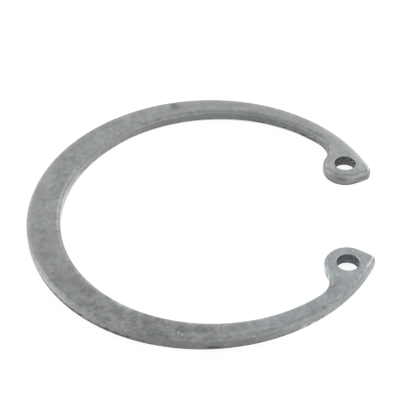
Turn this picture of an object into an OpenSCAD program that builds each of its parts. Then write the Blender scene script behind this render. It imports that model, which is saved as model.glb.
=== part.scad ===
// Internal retaining ring (circlip) for a groove in a bore.
// It is one piece, blanked from spring steel strip. The ring is widest opposite its gap and
// tapers towards two tear-drop lugs, each with a hole for one pin of the pliers.
// Z is the ring's axis, with the origin at half the thickness, and the gap faces +X.

/* [Ring] */
// Outside diameter while nothing squeezes the ring
free_d = 40.8; // [39:0.1:43]
// Thickness from face to face
thick = 1.5; // [1.2:0.05:2]
// Radial width opposite the gap, where the ring is widest
back_w = 3.8; // [3.4:0.05:4.2]
// Radial width that the taper would reach at the middle of the gap
front_w = 1.6; // [1.4:0.05:2]

/* [Lugs] */
// Radial depth of a lug, from the outside edge to the crown of its nose
lug_w = 4.95; // [4.7:0.05:5.2]
// Angle at the ring's centre from the middle of the gap to a plier hole
lug_angle = 27.6; // [26:0.1:30]
// Radius of the nose that a lug turns towards the middle of the ring
nose_r = 2.55; // [2.3:0.05:2.8]
// Angle at the ring's centre from the middle of the gap to the tip of a lug
tip_angle = 22.3; // [20:0.1:23.5]
// Radius of the tip, where the end face turns into the outside edge
tip_r = 0.65; // [0.55:0.05:0.8]
// Radius of the slightly crowned end face between tip and nose
end_r = 10; // [8:0.5:20]
// Radius of the hollow where a lug runs out into the strip
neck_r = 3.2; // [2.6:0.1:3.8]
// Diameter of the plier holes
hole_d = 2.5; // [2:0.05:2.7]

/* [Edges] */
// Width on the upper face of the edge that the blanking tool rolled over
roll_w = 0.46; // [0.3:0.02:0.5]
// Height on the wall of the same rolled edge
roll_h = 0.52; // [0.5:0.02:0.6]
// Height of the torn lower part of the wall
tear_h = 0.45; // [0.3:0.05:0.55]
// How far the torn wall falls back by the time it meets the lower face
tear_w = 0.1; // [0.08:0.01:0.15]
// Width of the bevel between the torn wall and the lower face
bevel_w = 0.12; // [0.08:0.01:0.15]
// Width of the bevel round both mouths of a plier hole
mouth_w = 0.1; // [0.05:0.01:0.2]

/* [Hidden] */
$fn = 180;
// How far neighbouring arcs of the outline pass each other, as a share of the smaller radius, so that
// they cross and don't just touch
cross = 0.0015;
// How far a cut runs past the solid
over = 1;

free_r = free_d / 2;
inner_r = free_r - (back_w + front_w) / 2;
inner_c = [(back_w - front_w) / 2, 0];
roll_r = (roll_w ^ 2 + roll_h ^ 2) / (2 * roll_w);

function polar(r, angle) = r * [cos(angle), sin(angle)];
// Direction from one point to another, and the direction halfway between two others
function aim(from, to) = (to - from) / norm(to - from);
function halfway(u, v) = (u + v) / norm(u + v);
// Where a circle about a meets a circle about b, on the left on the way from a to b
function meet(a, ra, b, rb) =
    let (d = norm(b - a), along = (d ^ 2 + ra ^ 2 - rb ^ 2) / (2 * d), u = aim(a, b))
    a + along * u + sqrt(ra ^ 2 - along ^ 2) * [-u.y, u.x];

// Centres of the arcs that outline the lug above the X axis, each arc running into the next
nose_c = polar(free_r - lug_w + nose_r, lug_angle);
tip_c = polar(free_r - tip_r, tip_angle);
end_c = meet(nose_c, end_r - nose_r, tip_c, end_r - tip_r);
neck_c = meet(inner_c, inner_r - neck_r, nose_c, nose_r + neck_r);

// Section through what blanking leaves off a square edge: the wall is at x = 0, with steel beyond it
module edge_waste() {
    difference() {
        translate([-over, thick - roll_h]) square([over + roll_r, roll_h + over]);
        translate([roll_r, thick - roll_h]) circle(roll_r);
    }
    polygon([
        [-over, tear_h],
        [0, tear_h],
        [tear_w * (1 - bevel_w / tear_h), bevel_w],
        [tear_w + bevel_w, 0],
        [tear_w + bevel_w, -over],
        [-over, -over],
    ]);
}

// Round disc with a blanked edge
module disc(c, r) {
    translate(c) rotate_extrude() difference() {
        square([r, thick]);
        translate([r, 0]) mirror([1, 0]) edge_waste();
    }
}

// Cutter that leaves a round opening with a blanked edge
module opening(c, r) {
    translate(c) rotate_extrude() {
        translate([0, -over]) square([r, thick + 2 * over]);
        translate([r, 0]) edge_waste();
    }
}

module prism(points) {
    translate([0, 0, -over]) linear_extrude(thick + 2 * over) polygon(points);
}

// Cutter that rounds the corner about c which lies between the directions u and v
module corner(c, r, u, v, reach) {
    difference() {
        prism([c, c + reach * u, c + reach * halfway(u, v), c + reach * v]);
        disc(c, r * (1 + cross));
    }
}

// The tapered strip, between the inner circle and beyond the outer one, open at the gap
module strip() {
    difference() {
        cylinder(r = free_r + over, h = thick);
        opening(inner_c, inner_r);
        prism([[0, 0], polar(2 * free_r, -lug_angle), polar(2 * free_r, lug_angle)]);
    }
}

// The lug above the X axis, from its end face back to where its neck meets the strip
module lug() {
    to_neck = aim(nose_c, neck_c);
    to_end = aim(end_c, nose_c);
    to_tip = aim(end_c, tip_c);
    outwards = aim([0, 0], tip_c);
    difference() {
        intersection() {
            disc(end_c, end_r);
            prism([
                neck_c,
                nose_c + 3 * nose_r * halfway(to_neck, to_end),
                tip_c + 4 * tip_r * halfway(to_tip, outwards),
                inner_c + (free_r + over) * aim(inner_c, neck_c),
            ]);
        }
        corner(nose_c, nose_r, to_neck, to_end, nose_r + 2 * neck_r);
        corner(tip_c, tip_r, to_tip, outwards, 3 * tip_r);
    }
}

// Cutter for a plier hole, with its two bevelled mouths
module plier_hole() {
    r = hole_d / 2;
    translate(nose_c) rotate_extrude() polygon([
        [0, -over],
        [r + mouth_w + over, -over],
        [r, mouth_w],
        [r, thick - mouth_w],
        [r + mouth_w + over, thick + over],
        [0, thick + over],
    ]);
}

module both_lugs() {
    for (side = [0, 1]) mirror([0, side, 0]) children();
}

module ring() {
    color([0.58, 0.59, 0.59]) translate([0, 0, -thick / 2]) difference() {
        intersection() {
            union() {
                strip();
                both_lugs() lug();
            }
            disc([0, 0], free_r);
        }
        both_lugs() {
            opening(neck_c, neck_r * (1 + cross));
            plier_hole();
        }
    }
}

ring();
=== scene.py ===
import math

import bpy
from mathutils import Matrix, Vector


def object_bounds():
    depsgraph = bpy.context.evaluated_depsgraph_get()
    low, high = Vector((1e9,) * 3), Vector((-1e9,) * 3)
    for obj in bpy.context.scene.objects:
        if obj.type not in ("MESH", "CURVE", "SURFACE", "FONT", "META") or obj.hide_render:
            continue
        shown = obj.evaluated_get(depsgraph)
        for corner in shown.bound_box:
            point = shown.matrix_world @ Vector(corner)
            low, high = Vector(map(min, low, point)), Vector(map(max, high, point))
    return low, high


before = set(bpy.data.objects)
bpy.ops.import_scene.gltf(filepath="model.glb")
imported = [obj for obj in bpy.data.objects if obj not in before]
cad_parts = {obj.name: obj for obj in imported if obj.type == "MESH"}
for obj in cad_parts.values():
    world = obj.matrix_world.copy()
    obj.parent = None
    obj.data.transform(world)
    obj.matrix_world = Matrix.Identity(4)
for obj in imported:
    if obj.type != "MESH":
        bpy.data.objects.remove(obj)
cad_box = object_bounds()

# Camera: it looks down on the ring at 42 degrees from 136 mm away, with the gap to its right.
# The ring fills the frame, so the lens is long, and the camera is rolled by two degrees.
# Angles are in radians, and lengths in metres but for the picture's pixels and the sensor.
IMAGE_SIDE = 416
FOCAL_PX = 1181.36
SENSOR_MM = 36
CAMERA_AZIMUTH = 0.0883
CAMERA_ELEVATION = 0.734
CAMERA_ROLL = -0.033
CAMERA_DISTANCE = 0.13558
# Where the middle of the ring's lower face lies in the picture
RING_CENTRE_PX = (206.02, 215.86)
RING_UNDERSIDE = Vector((0, 0, cad_box[0].z))

level_share = math.cos(CAMERA_ELEVATION)
backwards = Vector(
    (
        math.sin(CAMERA_AZIMUTH) * level_share,
        -math.cos(CAMERA_AZIMUTH) * level_share,
        math.sin(CAMERA_ELEVATION),
    )
)
level_right = Vector((math.cos(CAMERA_AZIMUTH), math.sin(CAMERA_AZIMUTH), 0))
level_up = backwards.cross(level_right)
right = math.cos(CAMERA_ROLL) * level_right + math.sin(CAMERA_ROLL) * level_up
up = backwards.cross(right)
metres_per_px = CAMERA_DISTANCE / FOCAL_PX
camera_place = (
    RING_UNDERSIDE
    + CAMERA_DISTANCE * backwards
    - (RING_CENTRE_PX[0] - IMAGE_SIDE / 2) * metres_per_px * right
    + (RING_CENTRE_PX[1] - IMAGE_SIDE / 2) * metres_per_px * up
)
camera = bpy.data.objects.new("camera", bpy.data.cameras.new("camera"))
bpy.context.scene.collection.objects.link(camera)
camera.data.sensor_width = SENSOR_MM
camera.data.lens = SENSOR_MM * FOCAL_PX / IMAGE_SIDE
camera.data.clip_start = 0.01
camera.data.clip_end = 10
turn = Matrix((right, up, backwards)).transposed()
camera.matrix_world = Matrix.Translation(camera_place) @ turn.to_4x4()
bpy.context.scene.camera = camera


# Ring: one piece of spring steel strip, blanked, hardened, tumbled and phosphated to a satin grey.
# Blanking rolled its upper edge over, burnished the wall below that and tore the wall's foot.
class Signal:
    """An output socket of a material's node. Arithmetic on it adds Math nodes."""

    # The numbers of a Mix node's sockets for colours
    FIRST_COLOUR, SECOND_COLOUR, MIXED_COLOUR = 6, 7, 2

    def __init__(self, tree, socket=None):
        self.tree, self.socket = tree, socket

    def node(self, kind, settings, sockets, output=0):
        """Adds a node, sets what it is told to be first, and then fills or links its sockets."""
        made = self.tree.nodes.new(kind)
        for name, value in settings.items():
            setattr(made, name, value)
        for name, value in sockets.items():
            if isinstance(value, Signal):
                self.tree.links.new(value.socket, made.inputs[name])
            else:
                made.inputs[name].default_value = value
        return Signal(self.tree, made.outputs[output])

    def math(self, operation, *values):
        return self.node("ShaderNodeMath", {"operation": operation}, dict(enumerate(values)))

    def __add__(self, other):
        return self.math("ADD", self, other)

    def __radd__(self, other):
        return self.math("ADD", other, self)

    def __sub__(self, other):
        return self.math("SUBTRACT", self, other)

    def __rsub__(self, other):
        return self.math("SUBTRACT", other, self)

    def __mul__(self, other):
        return self.math("MULTIPLY", self, other)

    def __rmul__(self, other):
        return self.math("MULTIPLY", other, self)

    def ramp(self, start, end):
        """0 at start and 1 at end, smooth between them and level beyond. Start may be the higher one."""
        sockets = {"Value": self, "From Min": start, "From Max": end}
        if start > end:
            sockets = {"Value": self, "From Min": end, "From Max": start, "To Min": 1.0, "To Max": 0.0}
        return self.node("ShaderNodeMapRange", {"interpolation_type": "SMOOTHSTEP"}, sockets)

    def noise(self, size, detail=2.0, rough=0.5, stretch=(1, 1, 1)):
        """Noise from 0 to 1 on this position, with blots of about that size in millimetres.

        A stretch below 1 draws them out along its axis, and one above 1 squeezes them.
        """
        per_blot = tuple(share / size for share in stretch)
        scaled = self.node("ShaderNodeVectorMath", {"operation": "MULTIPLY"}, {0: self, 1: per_blot})
        sockets = {"Vector": scaled, "Scale": 1.0, "Detail": detail, "Roughness": rough}
        return self.node("ShaderNodeTexNoise", {}, sockets)

    def blend(self, first, second):
        """The first colour where this is 0, the second where it is 1."""
        sockets = {"Factor": self, self.FIRST_COLOUR: first, self.SECOND_COLOUR: second}
        return self.node("ShaderNodeMix", {"data_type": "RGBA"}, sockets, self.MIXED_COLOUR)

    def shade(self, colour):
        """The colour, made this many times as bright."""
        return self.node("ShaderNodeVectorMath", {"operation": "SCALE"}, {0: colour, "Scale": self})

    def near(self, x, y, inner, outer):
        """1 on this position up to the inner distance from an upright line, 0 from the outer one on."""
        level = self.node("ShaderNodeVectorMath", {"operation": "MULTIPLY"}, {0: self, 1: (1, 1, 0)})
        ends = {0: level, 1: (x, y, 0)}
        away = self.node("ShaderNodeVectorMath", {"operation": "DISTANCE"}, ends, "Value")
        return away.ramp(outer, inner)

    def places(self, rows):
        """The near masks of all rows, each times the share that ends its row, added up."""
        total = 0.0
        for x, y, inner, outer, share in rows:
            total = total + self.near(x, y, inner, outer) * share
        return total


# Places and lengths on the ring are in millimetres, with heights from its underside. Its back lug
# is at positive y and its front lug at negative y.
MM_PER_METRE = 1000.0
THICKNESS_MM = MM_PER_METRE * (cad_box[1].z - cad_box[0].z)
FREE_RADIUS_MM = MM_PER_METRE * cad_box[1].y
INNER_CENTRE_MM = (1.1, 0)
INNER_RADIUS_MM = 17.7
TEAR_HEIGHT_MM = 0.45
BEVEL_HEIGHT_MM = 0.12
BACK_HOLE_MM = (15.95, 8.34)
FRONT_HOLE_MM = (15.95, -8.34)
# Just outside the bevelled mouth of a plier hole, and the width over which its masks fade
MOUTH_RADIUS_MM = 1.42
MOUTH_FADE_MM = 0.08
RELIEF_DEPTH_MM = 0.03
PHOSPHATE = (0.311, 0.320, 0.317, 1)
DULL_PHOSPHATE = (0.232, 0.239, 0.242, 1)
PALE_PHOSPHATE = (0.412, 0.430, 0.430, 1)
BLUISH_PHOSPHATE = (0.300, 0.336, 0.366, 1)
OLIVE_PHOSPHATE = (0.338, 0.327, 0.288, 1)
FLECKS = (0.46, 0.50, 0.52, 1)
SHEARED_WALL = (0.208, 0.214, 0.210, 1)
COLD_WALL = (0.205, 0.225, 0.238, 1)
# Pale steel for painted highlights, sheen and reflections
HIGHLIGHT_STEEL = (0.49, 0.51, 0.50, 1)
TORN_WALL = (0.085, 0.083, 0.078, 1)
HOLE_WALL = (0.135, 0.143, 0.153, 1)
HOLE_SHADOW = (0.082, 0.087, 0.094, 1)
# Bare steel for specks and marks, and for painted glints
BARE_SPECK_AND_GLINT = (0.75, 0.76, 0.74, 1)
# Bright steel for the painted shine on the bevel
BRIGHT_STEEL = (0.90, 0.91, 0.90, 1)
YELLOWED_STEEL = (0.66, 0.63, 0.52, 1)
BROWN_SMUDGE = (0.16, 0.125, 0.10, 1)
TEAL_SPECK = (0.25, 0.62, 0.60, 1)
PIT = (0.10, 0.105, 0.11, 1)
# Marks on the face that stand out: x, y and radius
PALE_MARKS = (
    (-1.49, -19.31, 0.11),
    (-1.06, -19.57, 0.09),
    (14.23, -11.64, 0.13),
    (7.65, 18.29, 0.08),
    (15.23, -8.57, 0.09),
    (15.8, -9.39, 0.07),
    (14.83, -10.34, 0.07),
    (16.52, -6.57, 0.07),
)
DARK_MARKS = (
    (14.38, -12.0, 0.1),
    (-5.1, 18.49, 0.55),
    (-5.39, 18.9, 0.3),
    (-10.86, -9.56, 0.3),
    (-4.95, -18.15, 0.45),
    (1.18, -18.85, 0.4),
    (-3.25, -19.73, 0.4),
)
# Places with a look of their own: x, y, the radii where that is full and gone, and its share.
# The face is paler at its places, or duller where the share is below zero.
PALE_LUGS = (
    (*BACK_HOLE_MM, 1.5, 5.0, 0.35),
    (*FRONT_HOLE_MM, 1.0, 7.0, 0.42),
)
FACE_TONES = (
    (-11.5, -16.3, 1.0, 4.0, 0.12),
    (16.9, 6.0, 0.5, 1.5, -0.14),
    (-13.2, -13.4, 1.5, 4.0, -0.12),
    (14.8, -12.4, 0.8, 2.4, -0.13),
)
# Painted shade on the roll inside the ring
SHADED_INSIDE = (
    (-15.5, 6.5, 4.0, 9.0, 0.17),
    (12.3, 12.2, 1.5, 4.5, 0.1),
    (13.5, 6.7, 0.6, 1.6, 0.12),
)
# Painted highlights on the outer roll
HIGHLIGHTS_OUTSIDE = (
    (-18.5, 9.0, 6.0, 14.0, 0.75),
    (17.7, 10.2, 3.0, 8.0, 0.6),
)
FRONT_LEFT_TEAR = (
    (-13.5, -14.5, 7.0, 12.0, 1.0),
    (-5.0, -20.0, 2.0, 5.0, 0.1),
)
# Painted glints on the front lug's neck
NECK_GLINTS = (
    (13.45, -8.7, 0.4, 0.95, 1.0),
    (13.95, -10.2, 0.3, 0.6, 0.8),
)
# The wall is darkened at its places by painted shade, partly for the dark tear at the front left, and
# brightened by painted light where the share is below zero. Each has x, y, the radii where that is full
# and gone, the heights where it is gone and full, and its share.
WALL_SHADE_AND_LIGHT = (
    (-17.5, -10.5, 2.0, 7.0, 0.7, 0.45, 0.45),
    (-18.5, -8.6, 0.5, 2.5, 0.8, 0.6, 0.3),
    (-16.0, -12.0, 2.0, 6.0, 0.55, 0.75, -0.16),
    (-8.5, -18.5, 2.0, 5.0, 0.8, 0.5, 0.1),
    (-8.5, -18.5, 2.0, 5.0, 0.5, 0.8, -0.12),
    (9.5, -17.8, 2.0, 5.0, 0.55, 0.75, -0.13),
    (16.7, -11.7, 1.0, 3.5, 1.5, 1.4, 0.13),
    (-16.0, 4.3, 1.0, 3.5, 0.75, 0.5, -0.25),
    (8.5, 15.5, 4.0, 7.0, 1.5, 1.4, 0.15),
    (16.6, 6.8, 2.2, 3.4, 1.5, 1.4, 0.3),
    (15.6, 7.0, 2.6, 4.2, 0.35, 0.22, 0.35),
    (-18.6, -8.4, 1.5, 4.0, 0.75, 0.5, 0.5),
    (13.05, 13.05, 0.8, 2.6, 0.6, 0.4, -0.35),
    (-14.5, 7.5, 2.0, 5.5, 0.55, 0.35, -0.15),
    (13.45, -8.8, 0.6, 1.6, 0.5, 0.8, -0.3),
    (-16.7, -0.5, 2.0, 4.5, 1.5, 1.4, -0.3),
    (-14.0, 9.0, 2.0, 5.0, 1.5, 1.4, 0.12),
)

steel = bpy.data.materials.new("phosphated_spring_steel")
steel.use_nodes = True
tree = steel.node_tree
shader = tree.nodes["Principled BSDF"]
shader.inputs["Metallic"].default_value = 1.0

start = Signal(tree)
in_metres = start.node("ShaderNodeTexCoord", {}, {}, "Object")
scaling = {"Vector": in_metres, "Scale": MM_PER_METRE}
position = start.node("ShaderNodeVectorMath", {"operation": "SCALE"}, scaling)
along_x = start.node("ShaderNodeSeparateXYZ", {}, {0: position}, "X")
along_y = start.node("ShaderNodeSeparateXYZ", {}, {0: position}, "Y")
height = start.node("ShaderNodeSeparateXYZ", {}, {0: position}, "Z") + THICKNESS_MM / 2
facing = start.node("ShaderNodeTexCoord", {}, {}, "Normal")
facing_up = start.node("ShaderNodeSeparateXYZ", {}, {0: facing}, "Z")

# Steepness is 0 on the flat face and 1 on the upright wall, with the rolled edge between them.
# Outside is the ring's outermost half millimetre, so that its two walls can differ.
steepness = 1 - start.math("ABSOLUTE", facing_up)
on_wall = steepness.ramp(0.4, 0.8)
on_edge = steepness.ramp(0.01, 0.12)
on_roll = on_edge * (1 - on_wall)
on_face = 1 - on_edge
outside = 1 - position.near(0, 0, FREE_RADIUS_MM - 0.5, FREE_RADIUS_MM - 0.44)
in_hole = 0.0
mouths = 0.0
for hole in (BACK_HOLE_MM, FRONT_HOLE_MM):
    in_hole = in_hole + position.near(*hole, MOUTH_RADIUS_MM, MOUTH_RADIUS_MM + MOUTH_FADE_MM)
    mouths = mouths + position.near(*hole, MOUTH_RADIUS_MM - MOUTH_FADE_MM, MOUTH_RADIUS_MM)
in_hole = in_hole * on_wall

# The face is darker at the front left and paler at the lugs, and the coat is bluish on the front right
# and has bluish and olive spots all over
fine = position.noise(0.22, detail=2.0, rough=0.6)
blots = position.noise(0.55, detail=2.0, rough=0.5)
clouds = position.noise(1.5, detail=2.0, rough=0.5)
drifts = position.noise(5.5, detail=2.0)
streaks = position.noise(0.7, detail=3.0, rough=0.6, stretch=(0.25, 2.5, 1.0))
hue = position.noise(0.6, detail=3.0, rough=0.6)
front_left = position.near(-5.0, -19.5, 3.0, 15.0)
front_right = position.near(12.0, -13.5, 2.0, 12.0)
colour = (front_left * 0.65).blend(PHOSPHATE, DULL_PHOSPHATE)
colour = position.places(PALE_LUGS).blend(colour, PALE_PHOSPHATE)
bluish = front_right * 0.4 + hue.ramp(0.5, 0.72) * 0.56
bluish = bluish + position.near(*FRONT_HOLE_MM, 1.0, 4.5) * 0.2
colour = start.math("MINIMUM", bluish, 1).blend(colour, BLUISH_PHOSPHATE)
colour = (hue.ramp(0.5, 0.28) * 0.5).blend(colour, OLIVE_PHOSPHATE)

# It is mottled from fine grain up to clouds, most at the front, and flecked at the front right
grain = 0.34 * (fine - 0.5) + 0.08 * (streaks - 0.5) + 0.52 * (blots - 0.5)
cloudy = 0.7 * (clouds - 0.5) + 0.15 * (drifts - 0.5)
smooth_back = position.near(4.0, 19.5, 6.0, 15.0)
cloudy = (1 + 0.8 * front_left - 0.2 * front_right) * cloudy + (0.45 + 0.4 * front_left) * grain
mottle = 1 + 0.6 * grain + (1 - 0.45 * smooth_back) * cloudy
colour = mottle.shade(colour)
flecks = position.noise(0.36, detail=2.0, rough=0.6).ramp(0.58, 0.7)
flecks = flecks * position.near(8.0, -17.0, 5.0, 13.0)
colour = (flecks * 0.4).blend(colour, FLECKS)
tone_and_light = 1 + position.places(FACE_TONES) * on_face

# The shoulder of the rolled edge is painted paler than the face to fill a dip in its shading, but for
# the left of the ring, and painted light also brightens the face's outer rim at the back, its inner rim
# at the front and the back lug's nose
shoulder = steepness.ramp(0.0, 0.06) * steepness.ramp(0.26, 0.12)
painted_shoulder_light = along_x.ramp(-15.0, -8.0) * along_x.ramp(17.0, 14.0) * (0.05 + 0.28 * blots)
painted_nose_light = position.near(15.4, 5.7, 1.0, 1.7) * steepness.ramp(0.0, 0.03) * steepness.ramp(0.7, 0.12)
tone_and_light = tone_and_light + painted_shoulder_light * shoulder + 0.22 * painted_nose_light
back_rim_light = 1 - position.near(0, 0, FREE_RADIUS_MM - 1.2, FREE_RADIUS_MM - 0.2)
back_rim_light = back_rim_light * along_y.ramp(-2.0, 7.0) * along_x.ramp(16.0, 11.0)
front_rim_light = position.near(*INNER_CENTRE_MM, INNER_RADIUS_MM + 0.1, INNER_RADIUS_MM + 1.2)
front_rim_light = front_rim_light * position.near(-3.0, -17.0, 8.0, 15.0) * (1 - outside)
tone_and_light = tone_and_light + 0.17 * back_rim_light + 0.24 * front_rim_light

# Painted shade darkens the roll below it along the inside of the back, at the front left and low on the
# outside of the front, and painted light makes it a little paler along the outside of the front left
left_roll_shade = steepness.ramp(0.1, 0.2) * steepness.ramp(0.55, 0.35)
left_roll_shade = left_roll_shade * position.near(-14.0, -14.5, 2.0, 6.0)
roll = steepness.ramp(0.02, 0.12) * steepness.ramp(0.85, 0.6)
lit_outside = 0.15 * position.near(-9.5, -18.0, 2.0, 5.0) * outside
roll_shade = position.places(SHADED_INSIDE) * (1 - outside) - lit_outside
low_roll_shade = steepness.ramp(0.2, 0.5) * steepness.ramp(0.95, 0.75)
low_roll_shade = low_roll_shade * (0.17 * along_x.ramp(-5.0, -1.0) * along_y.ramp(-8.0, -11.0) * outside)
colour = (tone_and_light - 0.15 * left_roll_shade - roll_shade * roll - low_roll_shade).shade(colour)

# Painted highlights lie on the roll along the outside of the back, round the front lug and at its tip
colour = (on_roll * position.places(HIGHLIGHTS_OUTSIDE) * outside).blend(colour, HIGHLIGHT_STEEL)
glare = 1 - position.near(0, 0, FREE_RADIUS_MM - 1.4, FREE_RADIUS_MM)
glare = glare * position.near(16.5, 11.5, 3.0, 8.0) * (1 - on_wall) * along_y.ramp(6.8, 8.8)
colour = (glare * 0.7).blend(colour, HIGHLIGHT_STEEL)
front_lug_highlight = on_roll * position.near(*FRONT_HOLE_MM, 2.6, 3.0)
colour = (front_lug_highlight * 0.2).blend(colour, HIGHLIGHT_STEEL)
tip_highlight = position.near(18.3, -8.0, 0.6, 1.5) * steepness.ramp(0.0, 0.04) * steepness.ramp(0.4, 0.2)
colour = (tip_highlight * (0.05 + 0.35 * blots)).blend(colour, BARE_SPECK_AND_GLINT)

# The sheared walls are streaked along the cut, with painted shade at the front and back and painted
# light at the sides
striations = position.noise(0.22, detail=3.0, rough=0.6, stretch=(0.1, 0.1, 1.0))
side_light = start.math("ABSOLUTE", along_x).ramp(5.0, 21.0)
wall = (side_light + 0.5 * (striations - 0.5) + 0.35 * (blots - 0.5)).blend(SHEARED_WALL, HIGHLIGHT_STEEL)
back_right_tear = position.near(9.8, 14.2, 4.5, 8.5)
cold = back_right_tear + position.near(2.0, 17.5, 5.0, 10.0)
wall = (start.math("MINIMUM", cold, 1) * (1 - outside) * 0.5).blend(wall, COLD_WALL)
colour = (on_wall * 0.95).blend(colour, wall)
wall_shade_and_light = 0.0
for x, y, inner, outer, gone, full, share in WALL_SHADE_AND_LIGHT:
    wall_shade_and_light = wall_shade_and_light + position.near(x, y, inner, outer) * height.ramp(gone, full) * share
colour = (1 - wall_shade_and_light * on_wall).shade(colour)

# The wall's foot is torn, most at the outside of the front left and the inside of the back right
ragged = position.noise(0.45, detail=4.0, rough=0.7, stretch=(1.0, 1.0, 0.7))
front_left_tear = position.places(FRONT_LEFT_TEAR) * outside
tear_line = height + 1.2 * (ragged - 0.5) - 0.12 * front_left_tear
tear_line = tear_line - 0.05 * position.near(11.5, 13.0, 2.5, 4.5)
foot = tear_line.ramp(TEAR_HEIGHT_MM + 0.15, TEAR_HEIGHT_MM) * on_wall * (1 - in_hole)
shreds = position.noise(0.5, detail=4.0, rough=0.75, stretch=(0.55, 0.55, 1.6)) + 0.05 * front_left_tear
shreds = (shreds + 0.12 * back_right_tear).ramp(0.48, 0.56)
torn = foot * shreds * (0.35 + 0.5 * front_left_tear + 0.45 * back_right_tear)

# The bevel below the tear has a painted reflection of the white floor, but for the back lug's. Painted
# shine lies along the outside of the front and the inside of the back, and painted shade darkens the
# foot above it at the left and at the back lug's neck.
bevel_reflection = height.ramp(BEVEL_HEIGHT_MM + 0.08, BEVEL_HEIGHT_MM) * on_edge * (1 - in_hole)
back_lug = position.near(15.6, 7.0, 2.6, 4.2)
bevel_reflection = bevel_reflection * (0.4 - 0.4 * back_lug + 0.3 * position.near(6.0, -19.5, 4.0, 12.0))
colour = bevel_reflection.blend(colour, HIGHLIGHT_STEEL)
colour = torn.blend(colour, TORN_WALL)
left_foot_shade = height.ramp(0.25, 0.12) * on_edge * outside * position.near(-17.8, -10.0, 3.5, 8.0)
neck_foot_shade = height.ramp(0.38, 0.2) * on_edge * position.near(14.0, 6.9, 1.1, 2.7)
colour = (1 - 0.55 * left_foot_shade - 0.25 * neck_foot_shade).shade(colour)
front_shine = height.ramp(0.2, 0.1) * on_edge * outside * position.near(3.0, -20.0, 6.0, 11.0)
colour = (front_shine * 0.65).blend(colour, BRIGHT_STEEL)
back_shine = (height - 0.07 * position.near(6.5, 16.2, 3.0, 6.0)).ramp(0.32, 0.2)
back_shine = back_shine * on_edge * (1 - outside) * along_y.ramp(11.0, 14.0)
colour = (back_shine * 0.85).blend(colour, BRIGHT_STEEL)

# The holes' walls are dark, with a few painted glints on scratches that the punch left, towards their
# right side
bore = fine.ramp(0.3, 0.7).blend(HOLE_SHADOW, HOLE_WALL)
hole_glints = position.noise(0.28, detail=2.0, rough=0.7).ramp(0.56, 0.68) * along_x.ramp(15.8, 16.8)
bore = (hole_glints * 0.6).blend(bore, BARE_SPECK_AND_GLINT)
colour = in_hole.blend(colour, bore)
# A painted highlight rings the rolled mouth of each hole
colour = (mouths * on_roll * 0.5).blend(colour, HIGHLIGHT_STEEL)

# Tumbling left bare specks and small pits, and a few marks that stand out
specks = position.noise(0.2, detail=1.0)
specks = specks + 0.04 * foot + 0.02 * front_left + 0.015 * front_right
specks = (specks + 0.08 * back_right_tear * on_wall).ramp(0.745, 0.785)
colour = (specks * 0.45).blend(colour, BARE_SPECK_AND_GLINT)
pits = position.noise(0.28, detail=1.0).ramp(0.265, 0.235)
colour = (pits * 0.5).blend(colour, PIT)
for x, y, radius in PALE_MARKS:
    colour = (position.near(x, y, 0.5 * radius, 1.5 * radius) * on_face * 0.7).blend(colour, BARE_SPECK_AND_GLINT)
for x, y, radius in DARK_MARKS:
    stain = position.near(x, y, 0.2 * radius, 1.8 * radius) * (0.15 + 0.6 * blots)
    colour = (stain * on_face).blend(colour, PIT)

# Marks on the walls: a dark slot in the back lug's end, a gouge at the front, a brown smudge on the
# back lug's nose, yellowed steel at the front right and painted glints on the front lug's neck
slot = position.near(17.9, 6.6, 0.5, 1.0) * height.ramp(0.6, 0.7) * height.ramp(0.88, 0.78) * on_wall
colour = (slot * 0.6).blend(colour, TORN_WALL)
gouge = position.near(2.3, -20.3, 0.3, 1.3) * height.ramp(0.85, 0.55) * on_edge
colour = (gouge * (0.3 + 0.8 * shreds)).blend(colour, TORN_WALL)
smudge = position.near(15.5, 6.0, 0.2, 0.9) * height.ramp(0.6, 0.8) * height.ramp(1.25, 1.05) * on_edge
colour = (smudge * 0.6).blend(colour, BROWN_SMUDGE)
yellowed = position.noise(0.4, detail=2.0).ramp(0.5, 0.58) * position.near(12.2, -16.3, 1.2, 2.6)
colour = (yellowed * height.ramp(0.75, 0.5) * on_edge * 0.8).blend(colour, YELLOWED_STEEL)
neck_glints = position.places(NECK_GLINTS) * on_wall * (0.35 + striations)
colour = neck_glints.blend(colour, BARE_SPECK_AND_GLINT)

# One small teal speck sits on the front's face
colour = (position.near(7.44, -18.3, 0.05, 0.14) * 0.9).blend(colour, TEAL_SPECK)
tree.links.new(colour.socket, shader.inputs["Base Color"])

# The coat is satin and the tear is rough, and grain, pits, striations and tears stand in relief
roughness = 0.4 + 0.1 * clouds + 0.12 * fine + 0.2 * torn
tree.links.new(roughness.socket, shader.inputs["Roughness"])
relief = 0.7 * fine + 0.6 * blots + 0.2 * streaks - 0.8 * pits + on_wall * striations - 1.5 * torn
depth = RELIEF_DEPTH_MM / MM_PER_METRE
bump = start.node("ShaderNodeBump", {}, {"Strength": 0.5, "Distance": depth, "Height": relief})
tree.links.new(bump.socket, shader.inputs["Normal"])

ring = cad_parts["ring"]
ring.data.materials.clear()
ring.data.materials.append(steel)


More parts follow.
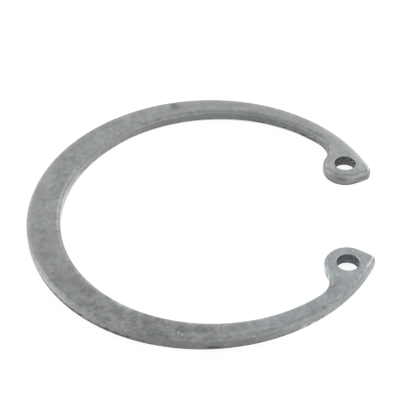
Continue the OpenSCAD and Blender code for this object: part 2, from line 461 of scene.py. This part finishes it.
# Floor and light: the ring lies on a sheet of white board, inside a ring of soft lamps.
# The board is bright enough to look white, and it still takes the ring's faint shadow.
# Lengths are in metres again, and the lamps' power is in watts.
FLOOR_SIDE = 4.0
BOARD_SHADE = 0.16
BOARD_GLOW = 0.89
ROOM_LEVEL = 0.5
for thing in bpy.context.selected_objects:
    thing.select_set(False)
bpy.ops.mesh.primitive_plane_add(size=FLOOR_SIDE, location=(0, 0, RING_UNDERSIDE.z))
floor = bpy.context.object
floor.name = "floor"
bpy.ops.object.transform_apply(location=True)
board = bpy.data.materials.new("white_board")
board.use_nodes = True
board_shader = board.node_tree.nodes["Principled BSDF"]
board_shader.inputs["Base Color"].default_value = (BOARD_SHADE, BOARD_SHADE, BOARD_SHADE, 1)
board_shader.inputs["Roughness"].default_value = 0.9
board_shader.inputs["Specular IOR Level"].default_value = 0.0
board_shader.inputs["Emission Strength"].default_value = 1.0
path = Signal(board.node_tree)
seen = path.node("ShaderNodeLightPath", {}, {}, "Is Camera Ray")
seen = seen + path.node("ShaderNodeLightPath", {}, {}, "Is Glossy Ray")
seen = path.math("MINIMUM", seen + path.node("ShaderNodeLightPath", {}, {}, "Is Transmission Ray"), 1)
glow = seen.blend((0, 0, 0, 1), (BOARD_GLOW, BOARD_GLOW, BOARD_GLOW, 1))
board.node_tree.links.new(glow.socket, board_shader.inputs["Emission Color"])
floor.data.materials.append(board)

world = bpy.context.scene.world or bpy.data.worlds.new("room")
bpy.context.scene.world = world
world.use_nodes = True
room = world.node_tree.nodes["Background"]
room.inputs["Color"].default_value = (ROOM_LEVEL, ROOM_LEVEL, ROOM_LEVEL, 1)
room.inputs["Strength"].default_value = 1.0

# Each square lamp's place, side and power
LAMPS = {
    "lamp_back": ((0, 0.45, 0.3), 0.4, 0.34),
    "lamp_back_left": ((-0.33, 0.33, 0.25), 0.35, 0.36),
    "lamp_left": ((-0.45, 0, 0.15), 0.25, 0.62),
    "lamp_right": ((0.45, 0, 0.15), 0.25, 0.23),
    "lamp_back_right": ((0.33, 0.33, 0.25), 0.35, 0.90),
    "lamp_near": ((0.09, 0.12, 0.14), 0.12, 0.02),
    "lamp_front": ((0, -0.45, 0.3), 0.4, 0.43),
    "lamp_front_right": ((0.33, -0.3, 0.12), 0.25, 0.34),
}
for name, (place, side, power) in LAMPS.items():
    lamp = bpy.data.objects.new(name, bpy.data.lights.new(name, "AREA"))
    bpy.context.scene.collection.objects.link(lamp)
    lamp.data.size = side
    lamp.data.energy = power
    lamp.location = place
    lamp.rotation_euler = (-Vector(place)).to_track_quat("-Z", "Y").to_euler()

view = bpy.context.scene.view_settings
view.view_transform = "Standard"
